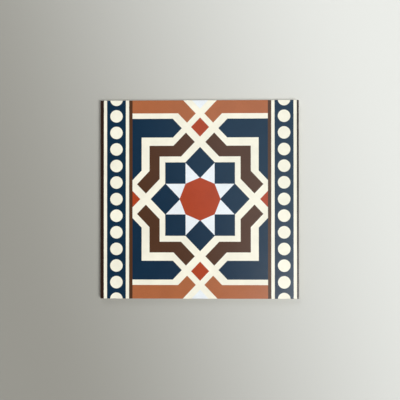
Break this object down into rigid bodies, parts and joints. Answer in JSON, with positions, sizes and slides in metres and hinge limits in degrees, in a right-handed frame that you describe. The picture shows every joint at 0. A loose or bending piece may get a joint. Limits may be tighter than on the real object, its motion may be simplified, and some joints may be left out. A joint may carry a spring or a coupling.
{
  "type": "porcelain tile",
  "caption": "Square glazed porcelain floor or wall tile with a rounded face edge, a printed star and strapwork face, and a waffle of shallow keying recesses on its back.",
  "frame": {"origin": "middle of the back, on the plane of the ribs that bear on the floor or adhesive bed", "axes": "+Z out of the glazed face, +X along the print's width, from one bordered edge to the other, +Y up the print"},
  "size_m": [0.2, 0.2, 0.008],
  "materials": {
    "glazed_porcelain": "satin glaze with a printed pattern on the face, bare fired body on the flanks and back"
  },
  "bodies": {
    "root": {"tile": "glazed_porcelain"}
  },
  "joints": []
}
